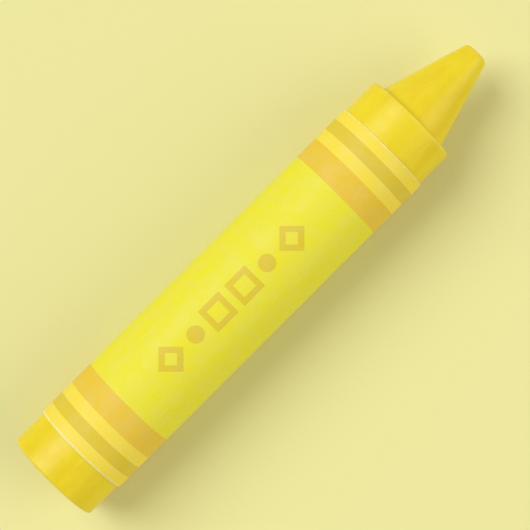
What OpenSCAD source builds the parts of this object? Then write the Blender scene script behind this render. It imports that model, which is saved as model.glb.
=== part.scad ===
// Chunky wax crayon in a printed paper label, lying on its side.
// +X runs along the axis from butt to nib, +Z is up, and the surface it lies on is Z = 0.
// The origin is on that surface, under the middle of the crayon's length.

/* [Wax stick] */
// Diameter of the cast wax stick
wax_d = 13.9; // [10:0.1:20]
// Length of the straight barrel, from the butt to the shoulder
barrel_len = 68; // [56.5:0.5:100]
// Length of the tip, from the shoulder to the nib
tip_len = 12.5; // [9:0.5:20]
// Width of the flat ledge round the foot of the cone
ledge_w = 1.45; // [1:0.05:2.4]
// Diameter at which the cone would meet the flat nib
nib_d = 3.5; // [2:0.1:5]
// Radius of the nib's edge
nib_round = 0.7; // [0.3:0.05:0.9]
// Radius of the barrel's outer edges, at the butt and at the shoulder
edge_round = 0.4; // [0.2:0.05:0.5]
// Radius in the corner between the ledge and the cone
root_round = 0.45; // [0.2:0.05:0.6]
// Diameter of the dish that the cooling wax leaves in the butt
dish_d = 8; // [5:0.1:9]
// Depth of that dish at its middle
dish_depth = 0.45; // [0.2:0.05:0.8]

/* [Paper label] */
// Length of barrel that the label leaves bare at each end
bare_len = 5.5; // [2:0.5:10]
// Thickness of the label paper
paper_t = 0.09; // [0.07:0.005:0.15]
// Thickness of the paste under each turn of paper
paste_t = 0.03; // [0.02:0.005:0.05]
// Full turns that the paper makes round the wax
label_turns = 2; // [2:1:3]
// Width of paper that laps on past the last full turn
lap_w = 3; // [1.5:0.1:5]
// Where the seam lies round the barrel, in degrees above the +Y side
seam_angle = -40; // [-60:5:0]

/* [Printing] */
// Thickness of the printed ink
ink_t = 0.03; // [0.02:0.005:0.05]
// Plain ground between the label's end and its thin stripe
margin_w = 1.74; // [1:0.02:2.5]
// Width of the thin stripe
stripe_w = 1.9; // [1:0.05:2.5]
// Plain ground between the thin stripe and the wide band
gap_w = 1.82; // [1:0.02:2.5]
// Width of the wide band
band_w = 3.47; // [2:0.01:4.5]
// Height and width of the outlined diamonds in the middle row
diamond_w = 4.6; // [3:0.1:5.5]
// Height and width of the outlined squares in that row
square_w = 3.8; // [3:0.1:4.8]
// Diameter of the dots in that row
dot_d = 2.4; // [1:0.1:3]
// Clear space between neighbouring shapes
shape_gap = 1.1; // [0.3:0.1:1.6]
// Line width of the outlined shapes
line_w = 0.8; // [0.5:0.05:1]

/* [Hidden] */
$fn = 96;

eps = 0.01; // overshoot of cutters

// Wax
wax_r = wax_d / 2;
nib_r = nib_d / 2;
root_r = wax_r - ledge_w;
total_len = barrel_len + tip_len;
cone_angle = atan((root_r - nib_r) / tip_len); // half angle of the cone
dish_ball_r = (pow(dish_d / 2, 2) + pow(dish_depth, 2)) / (2 * dish_depth);

// Radial build-up of the label
layer_t = paste_t + paper_t; // one turn of pasted paper
print_r = wax_r + label_turns * layer_t; // face of the paper that is printed
barrel_r = print_r + ink_t; // outside of the finished barrel
lap_a = lap_w / print_r * 180 / PI;
// The paper bridges the edge of the turn below in a straight line. It could leave the
// wax as early as a tangent line does, and leaves it this share of that angle before the edge.
bridge_share = 0.7;
ramp_a = bridge_share * acos(wax_r / (wax_r + layer_t));

// Stations of the label and its print along the barrel, from the butt
label_len = barrel_len - 2 * bare_len;
stripe_x = bare_len + margin_w;
gap_x = stripe_x + stripe_w;
band_x = gap_x + gap_w;
field_x = band_x + band_w;
field_len = barrel_len - 2 * field_x;

// Shapes in the row, as [kind, width]
shapes = [
    ["diamond", diamond_w], ["dot", dot_d], ["square", square_w],
    ["square", square_w], ["dot", dot_d], ["diamond", diamond_w]
];
last_shape = len(shapes) - 1;
row_len = shape_start(last_shape) + shapes[last_shape][1];
row_x = (barrel_len - row_len) / 2;
top_angle = 90; // the row of shapes faces up

wax_colour = [0.92, 0.83, 0.18];
paste_colour = [0.95, 0.93, 0.84];
paper_colour = [0.97, 0.96, 0.90];
ground_colour = [0.96, 0.87, 0.33];
stripe_colour = [0.88, 0.78, 0.27];
band_colour = [0.91, 0.78, 0.29];
field_colour = [0.92, 0.89, 0.30];
shape_colour = [0.88, 0.79, 0.27];

// Where shape i starts, from the start of the row
function shape_start(i) = i == 0 ? 0 : shape_start(i - 1) + shapes[i - 1][1] + shape_gap;

// ---- Placing ----

// Lays a piece that was drawn standing on its butt onto its side
module lay() {
    translate([-total_len / 2, 0, barrel_r]) rotate([90, 0, 90]) children();
}

// Moves a piece to the same place at the barrel's other end
module at_front() {
    translate([0, 0, barrel_len]) mirror([0, 0, 1]) children();
}

// Turns the seam from the local +X side to its place
module at_seam() {
    rotate([0, 0, seam_angle]) children();
}

// ---- Wax stick ----

// Half outline of the barrel, with both outer edges rounded
module barrel_outline() {
    square([wax_r - edge_round, barrel_len]);
    translate([0, edge_round]) square([wax_r, barrel_len - 2 * edge_round]);
    for (y = [edge_round, barrel_len - edge_round])
        translate([wax_r - edge_round, y]) circle(edge_round);
}

// Half outline of the cone: its side runs into the round edge of the nib
module cone_outline() {
    round_x = nib_r - nib_round * (1 - sin(cone_angle)) / cos(cone_angle);
    round_y = total_len - nib_round;
    translate([round_x, round_y]) circle(nib_round);
    polygon([
        [0, barrel_len - edge_round],
        [root_r, barrel_len - edge_round],
        [root_r, barrel_len],
        [round_x + nib_round * cos(cone_angle), round_y + nib_round * sin(cone_angle)],
        [round_x, total_len],
        [0, total_len]
    ]);
}

// Fills the corner between the ledge and the cone
module root_outline() {
    fillet_x = root_r + root_round * (1 - sin(cone_angle)) / cos(cone_angle);
    fillet_y = barrel_len + root_round;
    difference() {
        polygon([
            [root_r - eps, barrel_len - eps],
            [fillet_x, barrel_len - eps],
            [fillet_x, barrel_len],
            [fillet_x - root_round * cos(cone_angle), fillet_y - root_round * sin(cone_angle)],
            [root_r - ledge_w / 2, barrel_len + eps]
        ]);
        translate([fillet_x, fillet_y]) circle(root_round);
    }
}

// One casting: barrel, ledge, cone and nib, with the shrinkage dish in the butt
module wax_stick() {
    color(wax_colour) lay() difference() {
        rotate_extrude() {
            barrel_outline();
            intersection() {
                cone_outline();
                square([wax_r, total_len]);
            }
            root_outline();
        }
        translate([0, 0, dish_depth - dish_ball_r]) sphere(dish_ball_r);
    }
}

// ---- Wound layers, drawn with the seam on the local +X side ----

// A disc whose edge climbs by one layer as it comes round to the seam, where it drops back.
// The climb is straight: it leaves the round ramp_a before the seam.
module climbing_disc(r) {
    top = [r + layer_t, 0];
    foot = [r * cos(ramp_a), -r * sin(ramp_a)];
    way = (foot - top) / norm(foot - top);
    circle(r);
    polygon([[0, 0], top, top - (top * way) * way]); // the last point is the line's nearest to the axis
}

// One turn of a layer, from radius r outwards, t thick
module turn(r, t, x, len) {
    translate([0, 0, x]) linear_extrude(len) difference() {
        climbing_disc(r + t);
        climbing_disc(r);
    }
}

// The lap past the last turn, from radius r outwards, t thick
module lap(r, t, x, len) {
    rotate_extrude(angle = lap_a) translate([r, x]) square([t, len]);
}

// A layer of the whole strip. lift is its height above the strip's back.
module wound_layer(lift, t, first) {
    for (i = [first : label_turns - 1]) turn(wax_r + i * layer_t + lift, t, bare_len, label_len);
    lap(wax_r + label_turns * layer_t + lift, t, bare_len, label_len);
}

// Paste lines the strip's back, and fills the wedge under its first climb
module label_paste() {
    color(paste_colour) lay() at_seam() {
        translate([0, 0, bare_len]) linear_extrude(label_len) difference() {
            climbing_disc(wax_r + paste_t);
            circle(wax_r);
        }
        wound_layer(0, paste_t, 1);
    }
}

// One strip of paper, wound from the wax outwards
module paper_label() {
    color(paper_colour) lay() at_seam() wound_layer(paste_t, paper_t, 0);
}

// ---- Print: ink on the strip's outer face, where it shows ----

module ink(x, len) {
    at_seam() {
        difference() {
            turn(print_r, ink_t, x, len);
            translate([0, 0, x - eps]) linear_extrude(len + 2 * eps)
                polygon([[0, 0], [2 * wax_r, 0], 2 * wax_r * [cos(lap_a), sin(lap_a)]]);
        }
        lap(print_r + layer_t, ink_t, x, len);
    }
}

// Plain ground at one end: the margin and the gap, either side of the thin stripe
module ground() {
    ink(bare_len, margin_w);
    ink(gap_x, gap_w);
}

module ground_rear() {
    color(ground_colour) lay() ground();
}

module ground_front() {
    color(ground_colour) lay() at_front() ground();
}

module thin_stripe_rear() {
    color(stripe_colour) lay() ink(stripe_x, stripe_w);
}

module thin_stripe_front() {
    color(stripe_colour) lay() at_front() ink(stripe_x, stripe_w);
}

module wide_band_rear() {
    color(band_colour) lay() ink(band_x, band_w);
}

module wide_band_front() {
    color(band_colour) lay() at_front() ink(band_x, band_w);
}

// One flat shape, w across. The square and the diamond are outlines, and the dot is full.
module flat_shape(kind, w) {
    if (kind == "dot") circle(d = w);
    if (kind == "square") difference() {
        square(w, center = true);
        square(w - 2 * line_w, center = true);
    }
    if (kind == "diamond") difference() {
        diamond(w);
        diamond(w - 2 * sqrt(2) * line_w);
    }
}

module diamond(w) {
    rotate(45) square(w / sqrt(2), center = true);
}

// The row of shapes as prisms that stand out through the barrel's top
module shape_prisms() {
    for (i = [0 : last_shape]) {
        kind = shapes[i][0];
        w = shapes[i][1];
        rotate([0, 0, top_angle]) translate([wax_r / 2, 0, row_x + shape_start(i) + w / 2])
            rotate([0, 90, 0]) linear_extrude(wax_r) flat_shape(kind, w);
    }
}

module middle_field() {
    color(field_colour) lay() ink(field_x, field_len);
}

// The shapes are printed over the field in a second film of ink
module shape_row() {
    color(shape_colour) lay() intersection() {
        at_seam() turn(barrel_r, ink_t, field_x, field_len);
        shape_prisms();
    }
}

wax_stick();
label_paste();
paper_label();
ground_rear();
ground_front();
thin_stripe_rear();
thin_stripe_front();
wide_band_rear();
wide_band_front();
middle_field();
shape_row();
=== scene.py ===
import math
import random

import bmesh
import bpy
from mathutils import Matrix, Vector, noise


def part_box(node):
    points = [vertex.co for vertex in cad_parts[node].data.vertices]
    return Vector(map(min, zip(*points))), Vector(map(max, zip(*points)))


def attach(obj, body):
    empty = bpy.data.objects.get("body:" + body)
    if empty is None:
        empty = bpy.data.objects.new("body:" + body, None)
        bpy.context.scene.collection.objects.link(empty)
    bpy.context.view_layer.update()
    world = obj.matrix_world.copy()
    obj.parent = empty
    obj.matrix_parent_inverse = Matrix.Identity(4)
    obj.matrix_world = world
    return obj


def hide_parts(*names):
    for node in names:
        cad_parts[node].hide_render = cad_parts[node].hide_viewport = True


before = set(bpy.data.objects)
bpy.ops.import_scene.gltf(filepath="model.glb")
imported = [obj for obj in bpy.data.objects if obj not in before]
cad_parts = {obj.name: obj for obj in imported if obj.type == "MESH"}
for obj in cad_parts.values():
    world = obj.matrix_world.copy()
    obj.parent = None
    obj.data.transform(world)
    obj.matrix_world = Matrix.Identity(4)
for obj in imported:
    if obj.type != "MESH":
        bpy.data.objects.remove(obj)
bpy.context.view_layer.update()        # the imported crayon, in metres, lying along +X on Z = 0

mm = 0.001
tau = math.tau
mergeGap = 1e-7      # points closer than this are one point
cutGap = 1e-8        # points closer than this to a cut lie on it
onRing = 1e-6        # how far off its ring a point may be and still belong to it
sharpAngle = math.radians(40)
midNoise = (0.3, 0.7)    # where most of a noise's values lie
scene = bpy.context.scene

waxLow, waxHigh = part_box("wax_stick")
axisHeight = (waxLow.z + waxHigh.z) / 2    # the printed barrel rests on the floor, so this is its radius too
waxRadius = waxHigh.y
buttX, nibX = waxLow.x, waxHigh.x


def rgb(red, green, blue):
    # screen values 0 to 255, made linear
    channels = []
    for value in (red, green, blue):
        share = value / 255
        channels.append(share / 12.92 if share <= 0.04045 else ((share + 0.055) / 1.055) ** 2.4)
    return (*channels, 1.0)


# Shader building

def addNode(tree, kind, **settings):
    node = tree.nodes.new(kind)
    for name, value in settings.items():
        setattr(node, name, value)
    return node


def plug(tree, socket, value):
    # a value is a number, a colour or another node's output
    if isinstance(value, bpy.types.NodeSocket):
        tree.links.new(value, socket)
    else:
        socket.default_value = value


def feed(tree, node, **values):
    # an underscore in a name stands for a space
    for name, value in values.items():
        plug(tree, node.inputs[name.replace("_", " ")], value)
    return node


def doMath(tree, operation, first, second=0.0, clamp=False):
    node = addNode(tree, "ShaderNodeMath", operation=operation, use_clamp=clamp)
    plug(tree, node.inputs[0], first)
    plug(tree, node.inputs[1], second)
    return node.outputs[0]


def remap(tree, value, low, high, toLow=0.0, toHigh=1.0, smooth=True):
    node = addNode(tree, "ShaderNodeMapRange", interpolation_type="SMOOTHSTEP" if smooth else "LINEAR")
    feed(tree, node, Value=value, From_Min=low, From_Max=high, To_Min=toLow, To_Max=toHigh)
    return node.outputs["Result"]


def blendColour(tree, share, first, second):
    # a Mix node repeats its sockets for each kind of data, so the colour ones go by number
    node = addNode(tree, "ShaderNodeMix", data_type="RGBA")
    plug(tree, node.inputs[0], share)
    plug(tree, node.inputs[6], first)
    plug(tree, node.inputs[7], second)
    return node.outputs[2]


def stretched(tree, vector, scale, turn=(0, 0, 0)):
    node = addNode(tree, "ShaderNodeMapping")
    feed(tree, node, Vector=vector, Scale=scale, Rotation=turn)
    return node.outputs["Vector"]


def noisy(tree, vector, size, detail=4.0, roughness=0.5, distortion=0.0):
    # size is how far apart the blobs are, in metres
    node = addNode(tree, "ShaderNodeTexNoise")
    feed(tree, node, Vector=vector, Scale=1 / size, Detail=detail, Roughness=roughness, Distortion=distortion)
    return node.outputs["Fac"]


def cells(tree, vector, size):
    node = addNode(tree, "ShaderNodeTexVoronoi")
    return feed(tree, node, Vector=vector, Scale=1 / size).outputs


def newGroup(name, inputs, outputs):
    # inputs and outputs are (name, socket kind, default)
    group = bpy.data.node_groups.new(name, "ShaderNodeTree")
    for side, sockets in (("INPUT", inputs), ("OUTPUT", outputs)):
        for title, kind, default in sockets:
            socket = group.interface.new_socket(name=title, in_out=side, socket_type="NodeSocket" + kind)
            if default is not None:
                socket.default_value = default
    source = group.nodes.new("NodeGroupInput").outputs
    sink = group.nodes.new("NodeGroupOutput")
    return group, source, sink


def useGroup(tree, group, **values):
    node = addNode(tree, "ShaderNodeGroup", node_tree=group)
    return feed(tree, node, **values).outputs


def newMaterial(name):
    material = bpy.data.materials.new(name)
    material.use_nodes = True
    tree = material.node_tree
    tree.nodes.clear()
    shader = addNode(tree, "ShaderNodeBsdfPrincipled")
    output = addNode(tree, "ShaderNodeOutputMaterial")
    tree.links.new(shader.outputs[0], output.inputs["Surface"])
    coords = {
        "Object": addNode(tree, "ShaderNodeTexCoord").outputs["Object"],
        "Flat": addNode(tree, "ShaderNodeUVMap", uv_map="flat").outputs["UV"],
    }
    return material, tree, shader, coords


def bump(tree, height, distance):
    node = addNode(tree, "ShaderNodeBump")
    feed(tree, node, Height=height, Distance=distance, Strength=1.0)
    return node.outputs["Normal"]


paperLook = {
    "colour": rgb(247, 239, 196),
    "shade": rgb(231, 217, 162),
    "roughness": 0.85,
    "fibre": 0.11 * mm,
    "cloud": 0.37 * mm,
    "long": (0.45, 1.0, 1.0),       # how the two lots of fibres are drawn out
    "cross": (1.0, 0.4, 1.0),
    "crossTurn": 0.5,
    "fibreShare": 0.35,
    "cloudShare": 0.3,
    "relief": 0.03 * mm,
}
rubLook = {
    "hairs": ((0.12, 3.8 * mm), (-0.3, 2.9 * mm), (1.2, 3.3 * mm)),    # turn, and the length of a scratch
    "hairWidth": 1 / 9,             # as a share of its length
    "drawnOut": (0.05, 1.0, 1.0),
    "hairShows": (0.66, 0.72),      # noise from which each kind of mark starts, and is full
    "hairBreaks": (0.52, 0.62),
    "patch": 5.3 * mm,
    "patchShows": (0.60, 0.72),
    "speckle": 0.3 * mm,
    "speckleShows": (0.45, 0.75),
}
inkLook = {
    "ground": rgb(246, 223, 78),
    "stripe": rgb(225, 200, 58),
    "band": rgb(234, 199, 64),
    "field": rgb(235, 228, 58),
    "shape": rgb(224, 201, 56),
    "mottle": 0.07,             # how uneven the ink's depth is
    "grain": 3.0,               # how much more the fibres mottle it
    "cloud": 2.4 * mm,
    "wear": 0.07,
    "specks": 0.25,             # how bare the highest fibres are
    "speckShows": (0.60, 0.66),
    "frayed": 0.14 * mm,        # reach of the rubbed edge
    "fray": 0.67 * mm,
    "feather": 0.08 * mm,
    "edgeBare": 0.8,
    "saturation": (0.97, 1.03),
    "roughness": (0.50, 0.60),
    "bareRougher": 0.2,
    "rubDepth": 0.4,            # as a share of the relief
    "relief": 0.03 * mm,
}
waxLook = {
    "colour": rgb(239, 217, 28),
    "deep": rgb(234, 207, 18),
    "bloom": rgb(244, 230, 128),
    "roughness": (0.34, 0.44),
    "paleRougher": 0.2,
    "haze": 0.07,
    "rubbed": (0.05, 0.4),      # how pale a worn rim is, at its least and most
    "rubBreaks": 1.1 * mm,
    "handled": 0.7,             # how strong the rub marks are, and how pale
    "marks": 0.45,
    "streak": 3.1 * mm,
    "streakOut": (0.35, 1.0, 1.0),
    "cloud": 9 * mm,
    "skin": 0.7 * mm,
    "drawn": 0.28 * mm,         # fine lines along the mould
    "drawnOut": (0.03, 1.0, 1.0),
    "fleck": 0.67 * mm,
    "fleckTint": 0.25,
    "pit": 1.9 * mm,
    "pitless": (0.72, 0.77),    # share of the skin's cells with no pit, and with none or a faint one
    "raised": {"drawn": 0.35, "skin": 0.9},    # as shares of the relief
    "sunk": {"pit": 1.6, "mark": 0.7},
    "relief": 0.025 * mm,
    "scatter": 0.18,
    "depth": 0.5 * mm,          # how far light gets into the wax
}
pasteLook = {
    "colour": rgb(240, 230, 190),
    "shade": rgb(226, 212, 160),
    "lump": 0.42 * mm,
    "roughness": (0.4, 0.6),
    "relief": 0.01 * mm,
}


# Fibres of uncoated paper, on the strip's flat coordinates in metres
def paperFibreGroup():
    group, source, sink = newGroup(
        "paperFibre",
        [("Flat", "Vector", None)],
        [("Height", "Float", None), ("Tone", "Float", None)],
    )
    along = stretched(group, source["Flat"], paperLook["long"])
    across = stretched(group, source["Flat"], paperLook["cross"], (0, 0, paperLook["crossTurn"]))
    fine = noisy(group, along, paperLook["fibre"], 3.0, 0.6, 0.6)
    crossing = noisy(group, across, paperLook["fibre"], 3.0, 0.6, 0.6)
    cloud = noisy(group, source["Flat"], paperLook["cloud"], 3.0, 0.5)
    both = doMath(group, "MULTIPLY", doMath(group, "ADD", fine, crossing), paperLook["fibreShare"])
    height = doMath(group, "ADD", both, doMath(group, "MULTIPLY", cloud, paperLook["cloudShare"]))
    feed(group, sink, Height=height, Tone=remap(group, height, 0.35, 0.65))
    return group


# Where handling has rubbed a surface: long faint hairlines and small scuffed patches
def rubMarksGroup():
    group, source, sink = newGroup(
        "rubMarks",
        [("Place", "Vector", None), ("Amount", "Float", 0.5)],
        [("Mask", "Float", None)],
    )
    hairs = None
    for turn, length in rubLook["hairs"]:
        drawnOut = stretched(group, source["Place"], rubLook["drawnOut"], (0, 0, turn))
        lines = noisy(group, drawnOut, length * rubLook["hairWidth"], 2.0, 0.4)
        breaks = remap(group, noisy(group, source["Place"], length, 2.0), *rubLook["hairBreaks"])
        drawn = doMath(group, "MULTIPLY", remap(group, lines, *rubLook["hairShows"]), breaks)
        hairs = drawn if hairs is None else doMath(group, "MAXIMUM", hairs, drawn)
    patches = noisy(group, source["Place"], rubLook["patch"], 5.0, 0.65, 0.4)
    speckle = noisy(group, source["Place"], rubLook["speckle"], 3.0, 0.6)
    scuffs = doMath(group, "MULTIPLY", remap(group, patches, *rubLook["patchShows"]),
                    remap(group, speckle, *rubLook["speckleShows"]))
    marks = doMath(group, "MAXIMUM", hairs, scuffs)
    feed(group, sink, Mask=doMath(group, "MULTIPLY", marks, source["Amount"], clamp=True))
    return group


# A film of ink on paper: uneven in depth, thin over high fibres, rubbed away at the label's edges
def inkLayGroup(fibres, rubs):
    group, source, sink = newGroup(
        "inkLay",
        [
            ("Flat", "Vector", None), ("Place", "Vector", None), ("Ink", "Color", (1, 1, 0, 1)),
            ("Paper", "Color", (1, 1, 1, 1)), ("Half Length", "Float", 0.03), ("Mottle", "Float", 0.06),
            ("Wear", "Float", 0.5),
        ],
        [("Color", "Color", None), ("Roughness", "Float", None), ("Height", "Float", None)],
    )
    fibre = useGroup(group, fibres, Flat=source["Flat"])
    split = addNode(group, "ShaderNodeSeparateXYZ")
    feed(group, split, Vector=source["Flat"])
    fromEnd = doMath(group, "SUBTRACT", source["Half Length"], doMath(group, "ABSOLUTE", split.outputs["X"]))
    fray = noisy(group, source["Flat"], inkLook["fray"], 4.0, 0.6)
    reach = remap(group, fray, 0.35, 0.75, 0.0, inkLook["frayed"])
    edges = None
    for distance in (fromEnd, split.outputs["Y"]):
        inwards = doMath(group, "SUBTRACT", distance, reach)
        bared = remap(group, inwards, 0.0, inkLook["feather"], inkLook["edgeBare"], 0.0)
        edges = bared if edges is None else doMath(group, "MAXIMUM", edges, bared)
    rub = useGroup(group, rubs, Place=source["Place"], Amount=source["Wear"])
    specks = remap(group, fibre["Height"], *inkLook["speckShows"], 0.0, inkLook["specks"])
    bare = doMath(group, "MAXIMUM", doMath(group, "MAXIMUM", edges, specks), rub["Mask"], clamp=True)
    cloud = noisy(group, source["Flat"], inkLook["cloud"], 5.0, 0.62)
    depth = doMath(group, "MULTIPLY", doMath(group, "SUBTRACT", cloud, 0.5), source["Mottle"])
    grain = doMath(group, "MULTIPLY", doMath(group, "SUBTRACT", fibre["Height"], 0.5),
                   doMath(group, "MULTIPLY", source["Mottle"], inkLook["grain"]))
    toned = addNode(group, "ShaderNodeHueSaturation")
    feed(group, toned, Color=source["Ink"], Saturation=remap(group, cloud, *midNoise, *inkLook["saturation"]),
         Value=doMath(group, "ADD", doMath(group, "ADD", depth, grain), 1.0))
    roughness = doMath(group, "ADD", remap(group, cloud, *midNoise, *inkLook["roughness"]),
                       doMath(group, "MULTIPLY", bare, inkLook["bareRougher"]))
    height = doMath(group, "SUBTRACT", fibre["Height"],
                    doMath(group, "MULTIPLY", rub["Mask"], inkLook["rubDepth"]))
    colour = blendColour(group, bare, toned.outputs["Color"], source["Paper"])
    feed(group, sink, Color=colour, Roughness=roughness, Height=height)
    return group


paperFibre = paperFibreGroup()
rubMarks = rubMarksGroup()
inkLay = inkLayGroup(paperFibre, rubMarks)
print("shader groups made")


def waxMaterial():
    material, tree, shader, coords = newMaterial("castWax")
    place = coords["Object"]
    streaks = noisy(tree, stretched(tree, place, waxLook["streakOut"]), waxLook["streak"], 5.0, 0.6, 0.3)
    clouds = noisy(tree, place, waxLook["cloud"], 4.0, 0.55)
    body = blendColour(tree, remap(tree, streaks, 0.35, 0.7), waxLook["colour"], waxLook["deep"])
    rub = addNode(tree, "ShaderNodeAttribute", attribute_name="rub").outputs["Fac"]
    chalky = doMath(tree, "MULTIPLY", remap(tree, clouds, 0.45, 0.75), waxLook["haze"])
    broken = remap(tree, noisy(tree, place, waxLook["rubBreaks"], 4.0, 0.6), 0.38, 0.62, *waxLook["rubbed"])
    marks = useGroup(tree, rubMarks, Place=place, Amount=waxLook["handled"])
    pale = doMath(tree, "ADD", doMath(tree, "ADD", chalky, doMath(tree, "MULTIPLY", rub, broken)),
                  doMath(tree, "MULTIPLY", marks["Mask"], waxLook["marks"]), clamp=True)
    flecks = cells(tree, place, waxLook["fleck"])["Distance"]
    flecked = remap(tree, flecks, 0.06, 0.12, waxLook["fleckTint"], 0.0)
    colour = blendColour(tree, flecked, blendColour(tree, pale, body, waxLook["bloom"]), waxLook["deep"])
    drawn = noisy(tree, stretched(tree, place, waxLook["drawnOut"]), waxLook["drawn"], 3.0, 0.5)
    skin = noisy(tree, place, waxLook["skin"], 5.0, 0.55)
    pits = cells(tree, place, waxLook["pit"])
    chance = addNode(tree, "ShaderNodeSeparateXYZ")
    feed(tree, chance, Vector=pits["Color"])
    pitted = remap(tree, chance.outputs["X"], *waxLook["pitless"])
    pitDepth = doMath(tree, "MULTIPLY", remap(tree, pits["Distance"], 0.03, 0.09, 1.0, 0.0), pitted)
    height = doMath(tree, "ADD", doMath(tree, "MULTIPLY", drawn, waxLook["raised"]["drawn"]),
                    doMath(tree, "MULTIPLY", skin, waxLook["raised"]["skin"]))
    for hollow, depth in ((pitDepth, waxLook["sunk"]["pit"]), (marks["Mask"], waxLook["sunk"]["mark"])):
        height = doMath(tree, "SUBTRACT", height, doMath(tree, "MULTIPLY", hollow, depth))
    roughness = doMath(tree, "ADD", remap(tree, skin, *midNoise, *waxLook["roughness"]),
                       doMath(tree, "MULTIPLY", pale, waxLook["paleRougher"]))
    feed(tree, shader, Base_Color=colour, Roughness=roughness, Normal=bump(tree, height, waxLook["relief"]),
         IOR=1.44, Subsurface_Weight=waxLook["scatter"], Subsurface_Radius=(1.0, 0.55, 0.12),
         Subsurface_Scale=waxLook["depth"])
    return material


def paperMaterial():
    material, tree, shader, coords = newMaterial("labelPaper")
    fibre = useGroup(tree, paperFibre, Flat=coords["Flat"])
    colour = blendColour(tree, fibre["Tone"], paperLook["shade"], paperLook["colour"])
    feed(tree, shader, Base_Color=colour, Roughness=paperLook["roughness"], IOR=1.4,
         Normal=bump(tree, fibre["Height"], paperLook["relief"]))
    return material


def pasteMaterial():
    material, tree, shader, coords = newMaterial("driedPaste")
    lumps = noisy(tree, coords["Object"], pasteLook["lump"], 4.0, 0.6)
    colour = blendColour(tree, remap(tree, lumps, 0.35, 0.65), pasteLook["shade"], pasteLook["colour"])
    feed(tree, shader, Base_Color=colour, Roughness=remap(tree, lumps, *midNoise, *pasteLook["roughness"]),
         IOR=1.5, Normal=bump(tree, lumps, pasteLook["relief"]))
    return material


def inkMaterial(name, halfLength):
    material, tree, shader, coords = newMaterial(name + "Ink")
    lay = useGroup(tree, inkLay, Flat=coords["Flat"], Place=coords["Object"], Ink=inkLook[name],
                   Paper=paperLook["colour"], Half_Length=halfLength, Mottle=inkLook["mottle"],
                   Wear=inkLook["wear"])
    feed(tree, shader, Base_Color=lay["Color"], Roughness=lay["Roughness"], IOR=1.42,
         Normal=bump(tree, lay["Height"], inkLook["relief"]))
    return material


def finishPiece(bm, name, material, node):
    bmesh.ops.remove_doubles(bm, verts=bm.verts, dist=mergeGap)
    bmesh.ops.recalc_face_normals(bm, faces=bm.faces)
    mesh = bpy.data.meshes.new(name)
    bm.to_mesh(mesh)
    bm.free()
    mesh.shade_smooth()
    mesh.set_sharp_from_angle(angle=sharpAngle)
    mesh.materials.append(material)
    piece = bpy.data.objects.new(name, mesh)
    scene.collection.objects.link(piece)
    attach(piece, "root")
    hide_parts(node)


# Wax stick

wax = {
    "barrel": 68 * mm,         # butt to shoulder
    "ledge": 1.45 * mm,        # flat ring round the foot of the cone
    "nib": 3.5 * mm,           # across, where the cone would meet the flat nib
    "nibRound": 0.7 * mm,
    "rimRound": 0.4 * mm,
    "rootRound": 0.45 * mm,
    "nibSteps": 8,
    "roundSteps": 6,
    "dish": 8 * mm,            # across the shrinkage dish in the butt
    "dishDepth": 0.45 * mm,
    "sides": 224,
    "dishRings": 16,
    "ringGap": 0.45 * mm,      # between the rings of faces
    "longestGap": 0.6 * mm,    # gaps up to this are left as they are
    "waviness": 0.012 * mm,    # how far the cast skin wanders inwards
    "waves": 140,              # to a metre
    "ripple": 0.05 * mm,       # cooling rings in the butt
    "ripplePitch": 1.0 * mm,
    "rippleBend": 1.5,         # how far the rings stray from round, in radians of their wave
    "rippleBends": 300,        # to a metre
    "chips": 16,
    "chipSize": 0.5 * mm,
    "smallestChip": 0.45,      # as a share of that
    "chipDepth": 0.07 * mm,
    "chipGrain": 2500,         # to a metre
    "rubReach": 0.55 * mm,     # how far wear spreads from a rim
    "seed": 7,
}


def waxOutline():
    # from the middle of the butt's dish to the middle of the nib, as (distance from butt, radius)
    dishRadius = wax["dish"] / 2
    ball = (dishRadius**2 + wax["dishDepth"]**2) / (2 * wax["dishDepth"])
    points = []
    for step in range(wax["dishRings"] + 1):
        radius = dishRadius * step / wax["dishRings"]
        points.append((wax["dishDepth"] - ball + math.sqrt(ball**2 - radius**2), radius))
    length = nibX - buttX
    points += [
        (0, waxRadius),
        (wax["barrel"], waxRadius),
        (wax["barrel"], waxRadius - wax["ledge"]),
        (length, wax["nib"] / 2),
        (length, 0),
    ]
    return points


def roundRing(bm, corner, offset, segments):
    def onCorner(vert):
        radius = math.hypot(vert.co.y, vert.co.z)
        return abs(vert.co.x - corner[0]) < onRing and abs(radius - corner[1]) < onRing

    ring = [edge for edge in bm.edges if all(map(onCorner, edge.verts))]
    bmesh.ops.bevel(bm, geom=ring, offset=offset, offset_type="OFFSET", segments=segments, profile=0.5,
                    affect="EDGES", material=-1, clamp_overlap=True)


def spreadRings(bm, longest, spacing):
    # lengthways and radial edges over longest are cut into pieces about as long as spacing
    groups = {}
    for edge in bm.edges:
        first, second = (v.co for v in edge.verts)
        run = math.hypot(first.x - second.x, math.hypot(first.y, first.z) - math.hypot(second.y, second.z))
        if run > longest:
            groups.setdefault(round(run / spacing), []).append(edge)
    for cuts, edges in groups.items():
        bmesh.ops.subdivide_edges(bm, edges=edges, cuts=cuts, use_grid_fill=True)


def spinWax(outline):
    bm = bmesh.new()
    verts = [bm.verts.new((x, radius, 0)) for x, radius in outline]
    edges = [bm.edges.new(pair) for pair in zip(verts, verts[1:])]
    bmesh.ops.spin(bm, geom=verts + edges, cent=(0, 0, 0), axis=(1, 0, 0), angle=tau, steps=wax["sides"],
                   use_merge=True)
    bmesh.ops.remove_doubles(bm, verts=bm.verts, dist=mergeGap)
    return bm


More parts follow.
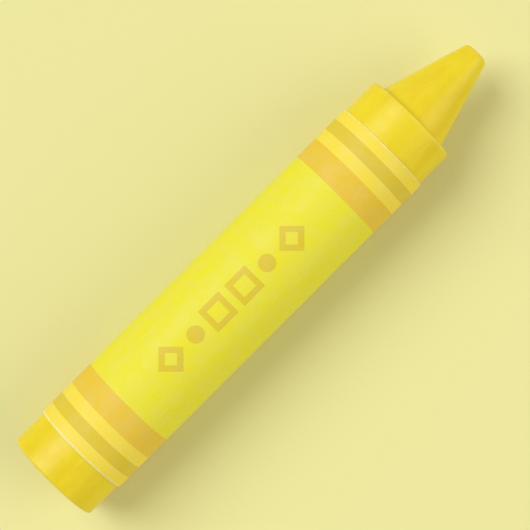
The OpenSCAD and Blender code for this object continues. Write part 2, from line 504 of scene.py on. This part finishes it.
def roundCorners(bm, rim, shoulder, root, nib):
    # shallow is a round's reach along its faces, as a share of its radius
    slope = math.atan((root[1] - nib[1]) / (nib[0] - root[0]))
    shallow = math.tan((math.pi / 2 - slope) / 2)
    roundRing(bm, nib, wax["nibRound"] * shallow, wax["nibSteps"])
    roundRing(bm, root, wax["rootRound"] * shallow, wax["roundSteps"])
    for corner in (shoulder, rim):
        roundRing(bm, corner, wax["rimRound"], wax["roundSteps"])


def placeChips(rims):
    # each chip is a place on a rim and its size
    dice = random.Random(wax["seed"])
    chips = []
    for _ in range(wax["chips"]):
        x, radius = dice.choice(rims)
        angle = dice.uniform(0, tau)
        size = wax["chipSize"] * dice.uniform(wax["smallestChip"], 1.0)
        chips.append((Vector((x, radius * math.cos(angle), radius * math.sin(angle))), size))
    return chips


def skinSink(point, radius, chips):
    # how far the skin lies below its outline: cast waviness, rings in the dish, and chips
    sink = wax["waviness"] * (0.5 + 0.5 * noise.noise(point * wax["waves"])) ** 2
    if radius < wax["dish"] / 2 and point.x < mm:
        stray = noise.noise(point * wax["rippleBends"]) * wax["rippleBend"]
        wave = radius / wax["ripplePitch"] * tau + stray
        sink += wax["ripple"] * (0.5 + 0.5 * math.sin(wave))
    for centre, size in chips:
        away = (point - centre).length / size
        if away < 1:
            grain = 0.7 + 0.6 * noise.noise(point * wax["chipGrain"])
            sink += wax["chipDepth"] * (1 - away * away) ** 2 * grain
    return sink


def makeWaxStick():
    outline = waxOutline()
    rim, shoulder, root, nib = outline[-5:-1]
    bm = spinWax(outline)
    roundCorners(bm, rim, shoulder, root, nib)
    spreadRings(bm, wax["longestGap"], wax["ringGap"])
    bmesh.ops.recalc_face_normals(bm, faces=bm.faces)
    bm.normal_update()
    rubbed = bm.verts.layers.float.new("rub")
    rims = [rim, shoulder, nib]
    chips = placeChips(rims)
    moves = []
    for vert in bm.verts:
        point = vert.co.copy()
        radius = math.hypot(point.y, point.z)
        nearest = min(math.hypot(point.x - x, radius - rimRadius) for x, rimRadius in rims)
        vert[rubbed] = max(0.0, 1 - nearest / wax["rubReach"])
        moves.append(vert.normal * -skinSink(point, radius, chips))
    for vert, move in zip(bm.verts, moves):
        vert.co += move
    bmesh.ops.translate(bm, verts=bm.verts, vec=(buttX, 0, axisHeight))
    finishPiece(bm, "waxStick", waxMaterial(), "wax_stick")


# Label

label = {
    "paper": 0.09 * mm,
    "paste": 0.03 * mm,
    "turns": 2,
    "lap": 3 * mm,                  # past the last full turn
    "seam": math.radians(-40),      # from the +Y side, upwards
    "climb": math.radians(9),       # how early the paper lifts off to cross the edge below it
    "drift": 0.11 * mm,             # sideways wander of the strip in one turn
    "unevenness": 0.018 * mm,
    "waves": 210,                   # to a metre
    "stepsPerTurn": 240,
    "slice": 1.5 * mm,              # width of the faces along the barrel
    "pasteSlice": 4 * mm,
    "pasteRecess": 0.12 * mm,
}
layer = label["paper"] + label["paste"]
printRadius = waxRadius + label["turns"] * layer
inkDepth = axisHeight - printRadius
lapAngle = label["lap"] / printRadius
stripEnd = label["turns"] * tau + lapAngle
labelLow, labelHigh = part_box("paper_label")
labelMiddle = (labelLow.x + labelHigh.x) / 2
labelHalf = (labelHigh.x - labelLow.x) / 2


def windOn(flat):
    # flat is (along the barrel, angle wound so far, height above the strip's pasted back)
    turn = min(int(flat.y / tau), label["turns"])
    part = flat.y - turn * tau
    rise = 0.0
    if turn < label["turns"]:
        near = min(max((part - tau + label["climb"]) / label["climb"], 0), 1)
        rise = near * near * (3 - 2 * near)
    angle = label["seam"] + flat.y
    around = Vector((flat.x, waxRadius * math.cos(angle), waxRadius * math.sin(angle)))
    dip = label["unevenness"] * (0.5 + 0.5 * noise.noise(around * label["waves"]))
    radius = waxRadius + layer * (turn + rise) + flat.z - min(dip, flat.z)
    x = flat.x + label["drift"] * (flat.y / tau - (label["turns"] - 0.5))    # none midway round the last turn
    return Vector((x, radius * math.cos(angle), radius * math.sin(angle) + axisHeight))


def flatStrip(low, high, spacing):
    # a slab of the strip before it is wound, cut finely enough to bend
    bm = bmesh.new()
    low, high = Vector(low), Vector(high)
    size = high - low
    placed = Matrix.Translation((low + high) / 2) @ Matrix.Diagonal((*size, 1))
    bmesh.ops.create_cube(bm, size=1, matrix=placed)
    cuts = (max(1, round(size.x / spacing)), round(size.y / tau * label["stepsPerTurn"]))
    for axis in (0, 1):
        along = [e for e in bm.edges if abs((e.verts[0].co - e.verts[1].co)[axis]) > 0.5 * size[axis]]
        bmesh.ops.subdivide_edges(bm, edges=along, cuts=cuts[axis], use_grid_fill=True)
    return bm


def wind(bm):
    # the strip's own flat coordinates in metres stay with it, measured from its middle and its outer end
    flatMap = bm.loops.layers.uv.get("flat") or bm.loops.layers.uv.new("flat")
    for face in bm.faces:
        for loop in face.loops:
            place = loop.vert.co
            loop[flatMap].uv = (place.x - labelMiddle, (stripEnd - place.y) * printRadius)
    for vert in bm.verts:
        vert.co = windOn(vert.co)
    return bm


def joinIn(bm, other):
    mesh = bpy.data.meshes.new("part")
    other.to_mesh(mesh)
    other.free()
    bm.from_mesh(mesh)
    bpy.data.meshes.remove(mesh)


def makePaste():
    recess = label["pasteRecess"]
    low = (labelLow.x + recess, 0, 0)
    high = (labelHigh.x - recess, stripEnd - recess / printRadius, label["paste"])
    bm = flatStrip(low, high, label["pasteSlice"])
    finishPiece(wind(bm), "labelPaste", pasteMaterial(), "label_paste")


def makePaper():
    bm = flatStrip((labelLow.x, 0, label["paste"]), (labelHigh.x, stripEnd, layer), label["slice"])
    finishPiece(wind(bm), "paperLabel", paperMaterial(), "paper_label")


bakeMap = {
    "name": "OFBake",               # name of the map that the printed faces are laid out in for baking
    "printed": 0.93,                # share of the map's height for the printed faces
    "gap": 0.012,                   # kept free round a row
    "under": (0.935, 0.965),        # where the underside lies
    # where the thin faces start, by the axis and the side that they face, and how deep they are
    "edges": {(0, -1): 0.970, (0, 1): 0.978, (1, -1): 0.986, (1, 1): 0.994},
    "edge": 0.005,
}


def layOut(bm, low, high, part, parts):
    # the printed face is folded into rows, in this strip's part of the map
    bm.loops.layers.uv.new("flat")
    layout = bm.loops.layers.uv.new(bakeMap["name"])
    low, size = Vector(low), Vector(high) - Vector(low)
    rows = max(1, round(math.sqrt(size.y * printRadius / size.x * bakeMap["printed"] / parts)))
    gap = bakeMap["gap"]
    bm.normal_update()
    for face in bm.faces:
        axis = max(range(3), key=lambda i: abs(face.normal[i]))
        side = 1 if face.normal[axis] > 0 else -1
        row = min(rows - 1, int((face.calc_center_median().y - low.y) / size.y * rows))
        for loop in face.loops:
            place = loop.vert.co - low
            across, along, deep = place.x / size.x, place.y / size.y, place.z / size.z
            if axis == 2 and side > 0:
                u = gap + (along * rows - row) * (1 - 2 * gap)
                height = bakeMap["printed"] / rows
                v = row * height + gap * parts / 2 + across * (height - gap * parts)
            elif axis == 2:
                lowest, highest = bakeMap["under"]
                u, v = along, lowest + across * (highest - lowest)
            else:
                u, v = along if axis == 0 else across, bakeMap["edges"][axis, side] + deep * bakeMap["edge"]
            loop[layout].uv = (u, (part + v) / parts)
    return bm


def inkStrip(fromX, toX, part=0, parts=1):
    # only the outermost turn shows, from under the lap's edge to the strip's end
    low, high = (fromX, stripEnd - tau, layer), (toX, stripEnd, layer + inkDepth)
    return wind(layOut(flatStrip(low, high, label["slice"]), low, high, part, parts))


def makeInks():
    inks = {name: inkMaterial(name, labelHalf) for name in ("ground", "stripe", "band", "field", "shape")}
    for end in ("rear", "front"):
        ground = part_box("ground_" + end)
        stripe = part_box("thin_stripe_" + end)
        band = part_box("wide_band_" + end)
        stations = sorted([corner.x for corner in (*ground, *stripe)])
        plain = inkStrip(*stations[:2], 0, 2)
        joinIn(plain, inkStrip(*stations[2:], 1, 2))
        finishPiece(plain, "groundInk_" + end, inks["ground"], "ground_" + end)
        finishPiece(inkStrip(stripe[0].x, stripe[1].x), "thinStripeInk_" + end, inks["stripe"],
                    "thin_stripe_" + end)
        finishPiece(inkStrip(band[0].x, band[1].x), "wideBandInk_" + end, inks["band"],
                    "wide_band_" + end)
    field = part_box("middle_field")
    finishPiece(inkStrip(field[0].x, field[1].x), "middleFieldInk", inks["field"],
                "middle_field")
    return inks


# Row of printed shapes

shapes = {
    "row": ("diamond", "dot", "square", "square", "dot", "diamond"),
    "diamond": 4.6 * mm,
    "dot": 2.4 * mm,
    "square": 3.8 * mm,
    "gap": 1.1 * mm,
    "line": 0.8 * mm,
    "strips": 24,                   # a shape is cut into these across the barrel, so that it can bend
    "dotSides": 64,
}


def flatShape(kind):
    bm = bmesh.new()
    half = shapes[kind] / 2
    if kind == "dot":
        bmesh.ops.create_circle(bm, cap_ends=True, radius=half, segments=shapes["dotSides"])
        return bm
    turned = Matrix.Rotation(tau / 8, 4, "Z") if kind == "square" else Matrix()
    reach = half * math.sqrt(2) if kind == "square" else half
    bmesh.ops.create_circle(bm, cap_ends=True, radius=reach, segments=4, matrix=turned)
    middle = list(bm.faces)
    bmesh.ops.inset_region(bm, faces=middle, thickness=shapes["line"], use_boundary=True,
                           use_even_offset=True)
    bmesh.ops.delete(bm, geom=middle, context="FACES")
    return bm


def makeShapeRow(inks):
    row = bmesh.new()
    rowLength = sum(shapes[kind] for kind in shapes["row"]) + shapes["gap"] * (len(shapes["row"]) - 1)
    start = labelMiddle - rowLength / 2
    for kind in shapes["row"]:
        bm = flatShape(kind)
        raised = bmesh.ops.extrude_face_region(bm, geom=list(bm.faces))["geom"]
        topVerts = [item for item in raised if isinstance(item, bmesh.types.BMVert)]
        bmesh.ops.translate(bm, verts=topVerts, vec=(0, 0, inkDepth))
        for cut in range(1, shapes["strips"]):
            cutY = shapes[kind] * (cut / shapes["strips"] - 0.5)
            bmesh.ops.bisect_plane(bm, geom=[*bm.verts, *bm.edges, *bm.faces], plane_co=(0, cutY, 0),
                                   plane_no=(0, 1, 0), dist=cutGap)
        bmesh.ops.translate(bm, verts=bm.verts, vec=(start + shapes[kind] / 2, 0, 0))
        start += shapes[kind] + shapes["gap"]
        joinIn(row, bm)
    for vert in row.verts:      # the top of the barrel is a quarter turn up from the +Y side
        angle = tau / 4 + math.asin(vert.co.y / axisHeight)
        wound = angle - label["seam"] + tau * (label["turns"] - 1)
        vert.co = Vector((vert.co.x, wound, layer + inkDepth + vert.co.z))
    finishPiece(wind(row), "shapeRowInk", inks["shape"], "shape_row")


makeWaxStick()
print("wax stick made")
makePaste()
makePaper()
inks = makeInks()
print("label wound and printed")
makeShapeRow(inks)
print("shape row printed")


# Studio

studio = {
    "floorSize": 12.0,
    "floorCells": 8,
    "floorColour": rgb(234, 230, 161),
    "floorRoughness": (0.75, 0.85),
    "floorGloss": 0.2,
    "horizonColour": rgb(240, 235, 171),    # what the camera sees past the floor
    "grain": 1.1 * mm,
    "skyColour": (1, 0.99, 0.96, 1),
    "skyStrength": 0.4,
    # where each light comes from, how wide it looks in degrees, its strength and its colour
    "suns": {
        "key": ((-0.10, 0.34, 0.42), 42, 1.88, (1, 1, 1)),
        "fill": ((0.25, -0.38, 0.30), 50, 1.0, (1, 0.93, 0.80)),
    },
    "lens": 180,
    "span": 0.80,            # the crayon's length as a share of the view's diagonal
    "roll": math.radians(-45),
    "clip": (0.01, 20),
}


def makeFloor():
    bm = bmesh.new()
    cellCount = studio["floorCells"]
    bmesh.ops.create_grid(bm, x_segments=cellCount, y_segments=cellCount, size=studio["floorSize"] / 2)
    mesh = bpy.data.meshes.new("floor")
    bm.to_mesh(mesh)
    bm.free()
    material, tree, shader, coords = newMaterial("paleFloor")
    grain = noisy(tree, coords["Object"], studio["grain"], 3.0)
    feed(tree, shader, Base_Color=studio["floorColour"], Specular_IOR_Level=studio["floorGloss"],
         Roughness=remap(tree, grain, *midNoise, *studio["floorRoughness"]))
    mesh.materials.append(material)
    floor = bpy.data.objects.new("floor", mesh)
    scene.collection.objects.link(floor)


def addSun(name, towards, spread, strength, colour):
    data = bpy.data.lights.new(name, "SUN")
    data.angle = math.radians(spread)
    data.energy = strength
    data.color = colour
    light = bpy.data.objects.new(name, data)
    light.rotation_euler = Vector(towards).to_track_quat("Z", "Y").to_euler()
    scene.collection.objects.link(light)


def makeSky():
    world = bpy.data.worlds.new("studio")
    world.use_nodes = True
    tree = world.node_tree
    tree.nodes.clear()
    seen = addNode(tree, "ShaderNodeLightPath").outputs["Is Camera Ray"]
    sky = addNode(tree, "ShaderNodeBackground")
    feed(tree, sky, Color=blendColour(tree, seen, studio["skyColour"], studio["horizonColour"]),
         Strength=remap(tree, seen, 0.0, 1.0, studio["skyStrength"], 1.0, smooth=False))
    output = addNode(tree, "ShaderNodeOutputWorld")
    tree.links.new(sky.outputs[0], output.inputs["Surface"])
    scene.world = world


def makeCamera():
    data = bpy.data.cameras.new("camera")
    data.lens = studio["lens"]
    across = (nibX - buttX) / (studio["span"] * math.sqrt(2))
    away = across * data.lens / data.sensor_width
    data.clip_start, data.clip_end = studio["clip"]
    camera = bpy.data.objects.new("camera", data)
    camera.location = (0, 0, axisHeight + away)
    camera.rotation_euler = (0, 0, studio["roll"])
    scene.collection.objects.link(camera)
    scene.camera = camera


makeFloor()
for name, sun in studio["suns"].items():
    addSun(name, *sun)
makeSky()
makeCamera()
scene.view_settings.view_transform = "Standard"
print("studio set")
